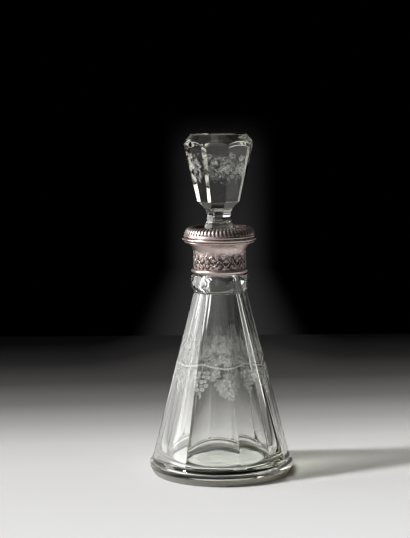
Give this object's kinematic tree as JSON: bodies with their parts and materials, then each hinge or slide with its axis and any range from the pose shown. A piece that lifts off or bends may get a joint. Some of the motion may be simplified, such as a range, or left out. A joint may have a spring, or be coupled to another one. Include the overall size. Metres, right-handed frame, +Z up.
{
  "type": "liquor decanter",
  "caption": "Conical panel-cut glass liquor decanter with a gadrooned silver neck mount and a tapered cut glass stopper.",
  "frame": {"origin": "centre of the circle that the bottle stands on", "axes": "+Z up along the bottle's axis through the stopper, -Y out of the middle of one flat panel"},
  "size_m": [0.1206, 0.1206, 0.2839],
  "materials": {
    "clear_glass": "polished, wheel cut",
    "silver": "silver, softly polished, darkened in the recesses",
    "plaster": "plaster of Paris, cast and hidden inside the mount"
  },
  "bodies": {
    "decanter": {"glass_body": "clear_glass", "plaster_bed": "plaster", "collar_band": "silver", "foot_bead": "silver", "reed_wire": "silver", "flange_wire": "silver", "gadroon_rim": "silver", "mouth_ring": "silver"},
    "stopper": {"stopper": "clear_glass"}
  },
  "joints": [
    {"name": "stopper_lift", "type": "slide", "parent": "decanter", "child": "stopper", "axis": [0, 0, 1], "range_m": [0, 0.06]}
  ]
}
